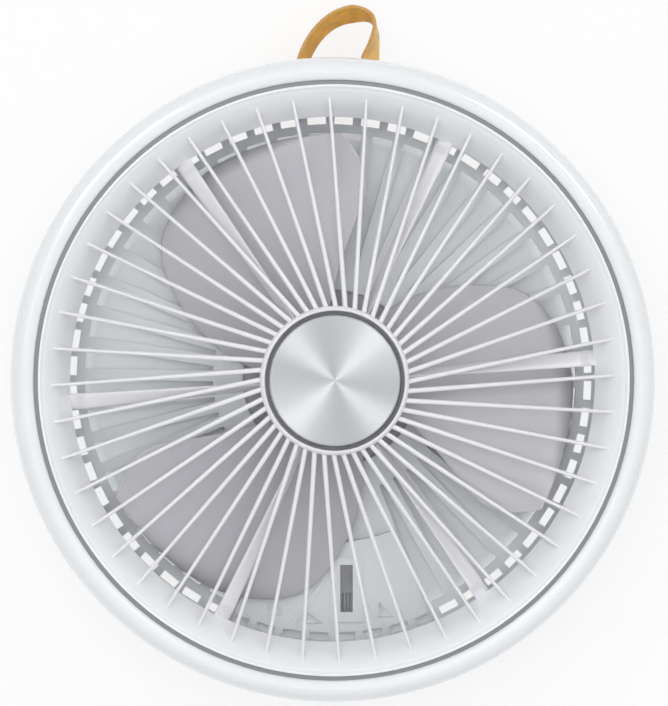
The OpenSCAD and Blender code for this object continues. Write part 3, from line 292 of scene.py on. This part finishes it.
def screw_mesh(shank_r, shank_len, head_r, head_h):
    """A pan head screw that points up from z = 0, with a cross recess and rings for its thread, in mm."""
    crown = [(head_r * 0.72 * k / 12, -head_h) for k in range(13)]
    shoulder = [(head_r * (0.72 + 0.28 * math.sin(a)), -head_h * (0.45 + 0.55 * math.cos(a)))
                for a in (0.35, 0.7, 1.05, 1.35, 1.57)]
    thread, z = [], 0.6
    while z < shank_len - 1.6:
        thread += [(shank_r * 0.8, z), (shank_r, z + 0.25), (shank_r * 0.8, z + 0.5)]
        z += 0.6
    point = [(shank_r * 0.8, shank_len - 1), (shank_r * 0.3, shank_len), (0, shank_len)]
    mesh = turned(crown + shoulder + [(head_r, 0), (shank_r * 0.8, 0)] + thread + point, 72, 40)
    arm, reach = head_r * 0.15, head_r * 0.6
    for vert in mesh.vertices:
        x, y, z = (abs(c) * 1000 for c in vert.co)
        if vert.co.z < 0 and z > head_h * 0.98 and min(x, y) < arm and max(x, y) < reach:
            vert.co.z += head_h * (0.6 - 0.25 * max(x, y) / reach) / 1000
    return mesh


circle = bpy.data.node_groups.new("set round a circle", "GeometryNodeTree")
for label, kind in (("Piece", "Geometry"), ("Count", "Int"), ("Radius", "Float"), ("First angle", "Float"),
                    ("Centre", "Vector"), ("Finish", "Material")):
    circle.interface.new_socket(label, in_out="INPUT", socket_type="NodeSocket" + kind)
circle.interface.new_socket("Pieces", in_out="OUTPUT", socket_type="NodeSocketGeometry")
given = circle.nodes.new("NodeGroupInput").outputs
share = sum_of(circle, 2 * math.pi, given["Count"], "DIVIDE")
number = put(circle, "GeometryNodeInputIndex").outputs[0]
clock = sum_of(circle, number, share, "MULTIPLY_ADD", given["First angle"])
across = put(circle, "ShaderNodeMath", {0: clock}, operation="SINE").outputs[0]
along = put(circle, "ShaderNodeMath", {0: clock}, operation="COSINE").outputs[0]
place = put(circle, "ShaderNodeCombineXYZ", {"X": sum_of(circle, across, given["Radius"]),
                                             "Y": sum_of(circle, along, given["Radius"])})
place = put(circle, "ShaderNodeVectorMath", {0: place.outputs[0], 1: given["Centre"]}, operation="ADD")
marks = put(circle, "GeometryNodePoints", {"Count": given["Count"], "Position": place.outputs[0]})
facing = put(circle, "ShaderNodeCombineXYZ", {"Z": sum_of(circle, clock, -1)})
facing = put(circle, "FunctionNodeEulerToRotation", {0: facing.outputs[0]})
copies = put(circle, "GeometryNodeInstanceOnPoints", {
    "Points": marks.outputs[0], "Instance": given["Piece"], "Rotation": facing.outputs[0]})
real = put(circle, "GeometryNodeRealizeInstances", {0: copies.outputs[0]})
dressed = put(circle, "GeometryNodeSetMaterial", {"Geometry": real.outputs[0], "Material": given["Finish"]})
put(circle, "NodeGroupOutput", {0: dressed.outputs[0]})


def set_round(mesh, finish, count, radius, first, centre=(0, 0, 0)):
    """Copies of a mesh round a circle, turned with their place. Sizes in mm, first in clock degrees."""
    holder = bpy.data.objects.new("holder", mesh)
    bpy.context.scene.collection.objects.link(holder)
    setting = holder.modifiers.new("circle", "NODES")
    setting.node_group = circle
    wanted = {"Count": count, "Radius": radius / 1000, "First angle": math.radians(first),
              "Centre": [c / 1000 for c in centre], "Finish": finish}
    for socket in circle.interface.items_tree:
        if socket.in_out == "INPUT" and socket.name in wanted:
            setting[socket.identifier] = wanted[socket.name]
    bpy.context.view_layer.update()
    made = bpy.data.meshes.new_from_object(holder.evaluated_get(bpy.context.evaluated_depsgraph_get()))
    bpy.data.objects.remove(holder)
    return made


def fitted(name, meshes, finishes, body, slot, *nodes):
    """Meshes joined as one finished piece, which rides on a body and stands for CAD nodes."""
    whole = bmesh.new()
    for mesh in meshes:
        before = len(whole.faces)
        finish = mesh.materials[0] if mesh.materials else None
        own = finishes.index(finish) if finish in finishes else 0
        whole.from_mesh(mesh)
        whole.faces.ensure_lookup_table()
        for face in whole.faces[before:]:
            face.material_index += own
    mesh = bpy.data.meshes.new(name)
    whole.to_mesh(mesh)
    whole.free()
    for finish in finishes:
        mesh.materials.append(finish)
    piece = bpy.data.objects.new(name, mesh)
    bpy.context.scene.collection.objects.link(piece)
    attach(piece, body)
    if nodes:
        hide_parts(*nodes)
    return piece


lid_screw = screw_mesh(shank_r=1.45, shank_len=15.5, head_r=2.7, head_h=2)
pairs = [set_round(lid_screw, zinc, count=2, radius=72, first=clock, centre=(0, 0, 12))
         for clock in (55, 125)]
fitted("lid_screws", pairs, [zinc], "base", "zinc_steel", "base_screws")


# ---- Cells and their holder
# Four lithium cells in blue shrink sleeves lie side by side in a black glass-filled cradle.
black_nylon = plastic("black nylon", (0.045, 0.045, 0.050), 0.5, grain=1500, mottle=0.3)
coat(black_nylon, "battery_holder")
sleeve, tree, shader = surface("shrink sleeve", IOR=1.5)
spot = put(tree, "ShaderNodeTexCoord").outputs["Object"]
crease = put(tree, "ShaderNodeTexNoise", {"Vector": spot, "Scale": 350, "Detail": 2, "Distortion": 1.5})
lift = sum_of(tree, sum_of(tree, crease.outputs["Fac"], 0.5), 0.75, "ADD")
tree.links.new(tinted(tree, (0.09, 0.25, 0.56), lift), shader.inputs["Base Color"])
dulled(tree, shader, crease.outputs["Fac"], 0.2, 0.2)
dented(tree, shader, crease.outputs["Fac"], 0.0001)
coat(sleeve, "battery_cells")


# ---- Boards, charging socket and switches
# Green glass-epoxy boards carry the charger, the buttons' switches and the motor's drive.
resist, tree, shader = surface("solder resist", IOR=1.55)
spot = put(tree, "ShaderNodeTexCoord").outputs["Object"]
copper = put(tree, "ShaderNodeTexBrick", {"Vector": spot, "Scale": 160, "Color1": (0.02, 0.17, 0.08, 1),
                                          "Color2": (0.03, 0.22, 0.11, 1),
                                          "Mortar": (0.015, 0.12, 0.06, 1)})
tree.links.new(copper.outputs["Color"], shader.inputs["Base Color"])
dented(tree, shader, copper.outputs["Fac"], 0.00003)
dulled(tree, shader, copper.outputs["Fac"], 0.2, 0.25)
coat(resist, "control_board", "button_board", "motor_board")
coat(bright, "usb_socket")
coat(black_nylon, "tact_switches")


# ---- Buttons and charge lights
# Two round push buttons stand 0.8 mm proud of the flat facet, with four light pipes between them.
button_white = plastic("button white", (0.84, 0.85, 0.86), 0.30, grain=3500)
coat(button_white, "power_button", "speed_button")
frosted = plastic("frosted acrylic", (0.86, 0.90, 0.93), 0.35, Transmission_Weight=0.35, IOR=1.49)
coat(frosted, "light_pipes")


# ---- Strap anchor and carrying strap
# A band of tan leather, 12 mm wide and 1.6 mm thick, is bent into a loop that turns over once, and
# both its ends are clamped in a black anchor behind the rim of the base. Its long edges are cut raw.
coat(black_nylon, "strap_anchor")


def bend(p0, p1, p2, p3, t):
    """Point of a cubic arc in the plane."""
    k = ((1 - t) ** 3, 3 * (1 - t) ** 2 * t, 3 * (1 - t) * t * t, t ** 3)
    return Vector([sum(c * p[axis] for c, p in zip(k, (p0, p1, p2, p3))) for axis in (0, 1)])


def lofted(loops, sharp=32):
    """A solid through closed loops of points in mm, each loop with as many points."""
    shape = bmesh.new()
    rows = [[shape.verts.new([c / 1000 for c in point]) for point in loop] for loop in loops]
    for here, there in zip(rows, rows[1:]):
        for i in range(len(here)):
            j = (i + 1) % len(here)
            shape.faces.new((here[i], here[j], there[j], there[i]))
    shape.faces.new(rows[0])
    shape.faces.new(rows[-1])
    return shaped(shape, sharp)


strap_half_w, strap_half_t, strap_z = 6.0, 0.8, 14.5
strap_rim, strap_end = 97.2, 89.4
strap_arcs = (((-10.5, strap_rim), (-18.8, 122), (-7.6, 147), (9.5, 148.9)),
              ((9.5, 148.9), (29, 149.4), (12.8, 131), (10.5, strap_rim)))
strap_leans = ((0.05, 0), (0.26, -21), (0.4, -24), (0.5, -28), (0.62, 0),
               (0.66, 7), (0.74, 22), (0.78, 35), (0.84, 30), (0.95, 0))


def strap_lean(u):
    """How far the strap leans out of upright, in degrees, from 0 to 1 along it."""
    for (u0, a0), (u1, a1) in zip(strap_leans, strap_leans[1:]):
        if u < u1:
            return a0 + (a1 - a0) * max(0, (u - u0) / (u1 - u0))
    return 0


steps = 72  # points along each arc
run = [Vector((-10.5, strap_end))]
run += [bend(*arc, (i + 1) / steps) for arc in strap_arcs for i in range(steps)]
run.insert(1, Vector((-10.5, strap_rim)))
run.append(Vector((10.5, strap_end)))
strap_loops = []
for i, here in enumerate(run):
    way = (run[min(i + 1, len(run) - 1)] - run[max(i - 1, 0)]).normalized()
    u = (i if i < 1 else 1 + 18 * (i - 1) / steps if i < len(run) - 1 else 38) / 38
    lean = math.radians(strap_lean(u))
    inwards = Vector((way.y, -way.x, 0))
    up = inwards * math.sin(lean) + Vector((0, 0, math.cos(lean)))
    out = inwards * math.cos(lean) - Vector((0, 0, math.sin(lean)))
    middle = Vector((here.x, here.y, strap_z))
    wave = 0.06 * math.sin(i * 0.9) + 0.05 * math.sin(i * 0.37 + 1)
    loop = []
    for side in (1, -1):
        for k in range(-8, 9):
            v = k / 8
            swell = strap_half_t * (1 - 0.14 * abs(v) ** 3) - 0.05 * (abs(abs(v) - 0.8) < 0.1)
            loop.append(middle + out * side * swell + up * side * (v * (strap_half_w - 0.22)))
        for w in (0.6, 0, -0.6):
            edge = strap_half_w - 0.12 * abs(w) + wave * (1 - abs(w))
            loop.append(middle + out * side * w * strap_half_t + up * side * edge)
    strap_loops.append(loop)


def leather(name, colour, roughness, drawn, streak, depth):
    """One side of the hide: clouds of tone, streaks drawn out along the strap, and pores or fibres."""
    material, tree, shader = surface(name, IOR=1.45)
    laid = put(tree, "ShaderNodeUVMap", uv_map="along and across").outputs[0]
    pulled = put(tree, "ShaderNodeMapping", {"Vector": laid, "Scale": (1 / drawn, 1, 1)}).outputs[0]
    streaks = put(tree, "ShaderNodeTexNoise",
                  {"Vector": pulled, "Scale": streak, "Detail": 3, "Roughness": 0.6})
    cloud = put(tree, "ShaderNodeTexNoise", {"Vector": laid, "Scale": 95, "Detail": 3, "Distortion": 0.4})
    pores = put(tree, "ShaderNodeTexVoronoi", {"Vector": laid, "Scale": 1500})
    tone = sum_of(tree, cloud.outputs["Fac"], 0.95, "MULTIPLY_ADD", 0.26)
    tone = sum_of(tree, streaks.outputs["Fac"], 0.5, "MULTIPLY_ADD", tone)
    tree.links.new(tinted(tree, colour, tone), shader.inputs["Base Color"])
    dulled(tree, shader, streaks.outputs["Fac"], 0.24, roughness - 0.12)
    height = sum_of(tree, pores.outputs["Distance"], 0.5, "MULTIPLY_ADD", streaks.outputs["Fac"])
    dented(tree, shader, height, depth)
    return material


hide = leather("tan hide", (0.78, 0.45, 0.11), 0.42, 3, 420, 0.00012)
# The flesh side is a touch darker than the grain side: partly its own tone, partly painted shade for the
# inner face that turns away from the lamps.
flesh_with_shade = leather("flesh side with painted shade", (0.76, 0.41, 0.072), 0.62, 5, 700, 0.0002)
raw_edge, tree, shader = surface("cut leather edge", Roughness=0.75)
spot = put(tree, "ShaderNodeTexCoord").outputs["Object"]
layers = put(tree, "ShaderNodeMapping", {"Vector": spot, "Scale": (1, 1, 5)})
fibres = put(tree, "ShaderNodeTexNoise", {"Vector": layers.outputs[0], "Scale": 900, "Detail": 4})
lift = sum_of(tree, sum_of(tree, fibres.outputs["Fac"], 0.9), 0.55, "ADD")
tree.links.new(tinted(tree, (0.60, 0.32, 0.085), lift), shader.inputs["Base Color"])
dented(tree, shader, fibres.outputs["Fac"], 0.0003)
strap = fitted("leather_strap", [lofted(strap_loops, 50)], [hide, raw_edge, flesh_with_shade], "base", "tan_leather",
               "hanging_strap").data
per_loop = len(strap_loops[0])
for face in strap.polygons:
    columns = {v % per_loop for v in face.vertices}
    if columns <= {16, 17, 18, 19, 20} or columns <= {36, 37, 38, 39, 0}:
        face.material_index = 1
    elif max(columns) < 17:
        face.material_index = 2
laid = strap.uv_layers.new(name="along and across").data
for corner in strap.loops:
    row, column = divmod(corner.vertex_index, per_loop)
    laid[corner.index].uv = (row * 0.0011, min(column, 36 - column, 17) / 16 * 0.012 if column < 37 else 0)


# ---- Hinge
# The head folds on a hollow steel pin between two ears of the tray, with a wave washer each side.
coat(bright, "hinge_pin", "friction_washers")
coat(satin_white, "hinge_bracket")
coat(button_white, "hinge_caps")
plate_screw = screw_mesh(shank_r=1.45, shank_len=3.8, head_r=2.6, head_h=1.6)
pairs = [set_round(plate_screw, zinc, count=2, radius=15, first=90, centre=(0, y, 36.3))
         for y in (-98, -78)]
fitted("plate_screws", pairs, [zinc], "head", "zinc_steel", "bracket_screws")


# ---- Rear housing
# The bowl of the head, moulded with radial windows and a ring of dashes for the air.
housing_white = plastic("housing white ABS", (0.79, 0.815, 0.83), 0.5)
coat(housing_white, "rear_housing")
rim_screw = screw_mesh(shank_r=1.45, shank_len=24.5, head_r=2.6, head_h=2)
boss_ring_r, boss_first = 110.6, 30
fitted("rim_screws", [set_round(rim_screw, zinc, 6, boss_ring_r, boss_first, centre=(0, 0, 38.5))],
       [zinc], "head", "zinc_steel", "housing_screws")
grommet_rubber = rubber("grommet rubber", (0.30, 0.30, 0.31))
coat(grommet_rubber, "lead_grommet")


# ---- Motor
# A small outrunner: laminated core and copper coils stay still, a steel cup with a magnet ring turns.
# The mount's dark grey is partly its own colour and partly painted shade for the deep ring round the motor.
grey_nylon_and_shade = plastic("grey nylon, darkened for painted shade", (0.42, 0.425, 0.44), 0.5, grain=1500, mottle=0.2)
coat(grey_nylon_and_shade, "motor_mount")
mount_screw = screw_mesh(shank_r=1.45, shank_len=4.8, head_r=2.6, head_h=1.7)
fitted("mount_screws", [set_round(mount_screw, zinc, count=3, radius=31.8, first=60, centre=(0, 0, 36.4))],
       [zinc], "head", "zinc_steel", "motor_screws")
lamination = plated("coated laminations", (0.11, 0.11, 0.12), 0.5)
coat(lamination, "stator_core", "magnet_ring")
copper_wire = plated("enamelled copper", (0.62, 0.28, 0.11), 0.3)
coat(copper_wire, "stator_coils")
coat(bright, "rear_bearing", "front_bearing", "rotor_cup", "motor_shaft", "shaft_clip", "impeller_nut")


# ---- Impeller
# Three broad scythe blades and their hub in one moulding of light grey resin.
blade_grey = plastic("blade grey ABS", (0.525, 0.515, 0.545), 0.40)
impeller_r, tip_r, root_r = 28.0, 97.1, 27.0
blade_z, blade_t, blade_rise = 43.4, 1.8, 18.0


def blade_loop(r, shrink):
    """Section of the blade at a radius, once round it from the leading edge; shrink thins its tip."""
    s = (r - impeller_r) / (tip_r - impeller_r)
    # Clock degrees of the two edges: the leading one sweeps forward, the trailing one rounds off.
    lead = 35 + 37 * s + 19 * max(0, (s - 0.61) / 0.39) ** 5
    trail = 130 - (13 * max(0, (0.7 - s) / 0.7) ** 1.5 if s < 0.7 else 8 * ((s - 0.7) / 0.3) ** 1.5)
    span = (r - root_r) / (tip_r - root_r)
    root = 1 + 0.9 * math.exp(-max(0, r - impeller_r) / 1.6)
    loop = []
    for side in (1, -1):
        for k in range(41):
            u = k / 40 if side > 0 else 1 - k / 40
            u = 0.5 - 0.5 * math.cos(math.pi * u)
            a = math.radians(90 - lead - (trail - lead) * u)
            bow = math.sin(math.pi * u)
            z = (blade_z + blade_t / 2 + blade_rise * (1 - 0.12 * span) * u
                 - 2.2 * bow * (1 - 0.3 * span) + 2.2 * span * u)
            t = blade_t * (0.45 + 0.55 * bow) * (1 - 0.25 * span) * root * shrink
            t *= math.sqrt(max(0.0, 1 - abs(2 * u - 1) ** 60)) * 0.88 + 0.12
            loop.append((r * math.cos(a), r * math.sin(a), z + side * t / 2))
    return loop


stations = [root_r + (tip_r - 0.6 - root_r) * (1 - (1 - i / 46) ** 1.5) for i in range(47)]
blade_loops = [blade_loop(r, 1) for r in stations]
blade_loops += [blade_loop(tip_r - 0.6 + 0.6 * math.sin(a), math.cos(a)) for a in (0.5, 0.9, 1.2, 1.45)]
hub_round = [(25 + 3 * math.cos(a), 61 + 3 * math.sin(a)) for a in (math.pi * k / 24 for k in range(13))]
hub_turning = turned([(2.55, 64.0), (2.55, 61.5), (26, 61.5), (26, 41.6), (28, 41.6)] + hub_round)
blades = set_round(lofted(blade_loops, 60), blade_grey, count=3, radius=0, first=0)
fitted("impeller_moulding", [hub_turning, blades], [blade_grey], "rotor", "blade_grey", "impeller")


# ---- Front grille
# Bell mouth, slanted ribs, spokes and hub cup are one white moulding; the darker whites of the ribs, cup
# and spokes are painted shade.
grille_white = plastic("grille white ABS", (0.935, 0.955, 0.965), 0.36)
# The ribs and the hub cup take a darker copy of the moulding's white, which is painted shade.
rib_painted_shade = plastic("rib ABS, painted shade", (0.81, 0.80, 0.83), 0.40)
# The spokes, deep in the well, take a still darker copy of the white: painted shade.
vane_painted_shade = plastic("vane ABS, painted shade", (0.72, 0.73, 0.75), 0.44)
throat_r, throat_z, lip_r, lip_z = 103.5, 62.0, 113.2, 77.6
mouth_flare = 1.15  # 1 would be a straight cone


def mouth_curve(inset, n=40):
    """Wall of the bell mouth at a depth under its inner face, from the throat up to the lip."""
    return [(throat_r + inset + (lip_r - throat_r - inset) * u,
             throat_z + (lip_z - throat_z - inset) * (1 - (1 - u) ** mouth_flare))
            for u in (k / n for k in range(n + 1))]


lip = [(113.7, 78.1), (113.95, 78.7), (114.2, 79.05), (114.5, 79.2), (114.8, 79.1), (115.05, 78.8),
       (115.15, 78.2), (115.15, 63), (113.2, 63), (113.2, 75.2)]
throat_edge = [(104.8, 61.8), (104.1, 61.75), (103.6, 61.85)]
mouth = turned(mouth_curve(0) + lip + mouth_curve(2)[::-1] + throat_edge, 240, 40)
hub_cup = turned([(0, 73.8), (26.6, 73.8), (26.6, 65.4), (29.1, 65.4), (29.1, 76.8), (29.02, 77.4),
                  (28.8, 78.0), (28.5, 78.5), (28.1, 78.85), (27.75, 79), (27.45, 78.9), (27.25, 78.65),
                  (27.2, 78.3), (27.2, 76), (0, 76)], 160, 40)
boss = turned([(1.5, 55), (3.6, 55), (3.6, 66.6), (1.5, 66.6)], 32)

rib_aside, rib_z, rib_h, rib_fall = 6.2, 72.8, 4.4, 3.8
rib_y0, rib_reach = 27.4, 87.6


def mouth_middle(z):
    """Radius of the middle of the mouth's wall at a height."""
    climb = (z - throat_z) / (lip_z - throat_z - 1)
    return throat_r + 1 + (lip_r - throat_r - 1) * (1 - (1 - climb) ** (1 / mouth_flare))


def rib_loop(t):
    """Section of a rib, from 0 at the hub to 1 in the wall of the mouth."""
    w = 0.97 - 0.32 * t
    section = [(-w * 0.72, 0), (w * 0.72, 0), (w, 1.6), (w, rib_h - 0.9)]
    section += [(w * math.cos(a), rib_h - 0.9 + 0.9 * math.sin(a))
                for a in (math.pi * k / 10 for k in range(1, 10))]
    section += [(-w, rib_h - 0.9), (-w, 1.6)]
    loop = []
    for x, h in section:
        end = mouth_middle(rib_z + h - rib_fall * 0.94)
        y = rib_y0 + (math.sqrt(end ** 2 - rib_aside ** 2) - rib_y0) * t
        loop.append((rib_aside + x, y, rib_z + h - rib_fall * (y - rib_y0) / rib_reach))
    return loop


rib = lofted([rib_loop(k / 12) for k in range(13)], 40)
ribs = set_round(rib, rib_painted_shade, count=48, radius=0, first=3.3)
vane_y0, vane_y1 = 28.2, 104.6


def vane_loop(t):
    """Section of a stator vane: a leaning leaf, broad at the throat, that dips under the mouth's edge."""
    y = vane_y0 + (vane_y1 - vane_y0) * t
    half = 1.3 + 1.9 * t
    dip = min(1, max(0, (y - 97.6) / 3.6))
    low, rise = 65.2 - 2.9 * t - 3.6 * dip * dip * (3 - 2 * dip), 6.4 - 3.6 * t
    loop = []
    for side in (1, -1):
        for k in range(13):
            v = -math.cos(math.pi * k / 12) * side
            thick = 0.85 * math.sqrt(max(0.0, 1 - v ** 4)) + 0.05
            height = low + 0.9 + rise * (v + 1) / 2
            loop.append((half * v - side * thick * 0.5, y, height + side * thick * 0.8))
    return loop


vane = lofted([vane_loop(k / 50) for k in range(51)], 60)
vanes = set_round(vane, vane_painted_shade, count=6, radius=0, first=25.2)
bosses = set_round(boss, grille_white, 6, boss_ring_r, boss_first)
# The cup has the ribs' darker copy of the white, which is painted shade, and the bosses have the mouth's
# white.
hub_cup.materials.clear()
hub_cup.materials.append(rib_painted_shade)
fitted("grille_moulding", [mouth, hub_cup, bosses, ribs, vanes], [grille_white, rib_painted_shade, vane_painted_shade],
       "head", "grille_white", "front_grille")


# ---- Accent ring and bezel
# A dark grey ring sits in the step between the grille and the rounded gloss bezel.
accent = plastic("accent grey", (0.25, 0.255, 0.265), 0.4)
coat(accent, "accent_ring")
hub_black = plastic("hub trim black", (0.10, 0.102, 0.108), 0.35, mottle=0.2)
coat(hub_black, "hub_trim")
gloss_white = plastic("gloss white ABS", (0.85, 0.872, 0.89), 0.16, relief=0.00001, Coat_Weight=0.3)
coat(gloss_white, "bezel_ring")


# ---- Hub disc
# A turned aluminium disc is bonded into the hub cup; its fine rings fan the light out.
spun, tree, shader = surface("spun aluminium", Metallic=1.0, Anisotropic=0.9, Roughness=0.30)
spot = put(tree, "ShaderNodeTexCoord").outputs["Object"]
level = put(tree, "ShaderNodeVectorMath", {0: spot, 1: (1, 1, 0)}, operation="MULTIPLY").outputs[0]
radius = put(tree, "ShaderNodeVectorMath", {0: level}, operation="LENGTH").outputs["Value"]
rings = put(tree, "ShaderNodeTexNoise", {"W": sum_of(tree, radius, 6000), "Scale": 1, "Detail": 2},
            noise_dimensions="1D")
lift = sum_of(tree, sum_of(tree, rings.outputs["Fac"], 0.16), 0.92, "ADD")
tree.links.new(tinted(tree, (0.49, 0.505, 0.52), lift), shader.inputs["Base Color"])
turning = put(tree, "ShaderNodeTangent", direction_type="RADIAL", axis="Z")
tree.links.new(turning.outputs[0], shader.inputs["Tangent"])
dented(tree, shader, rings.outputs["Fac"], 0.00001)
coat(spun, "hub_disc")


bpy.context.view_layer.update()
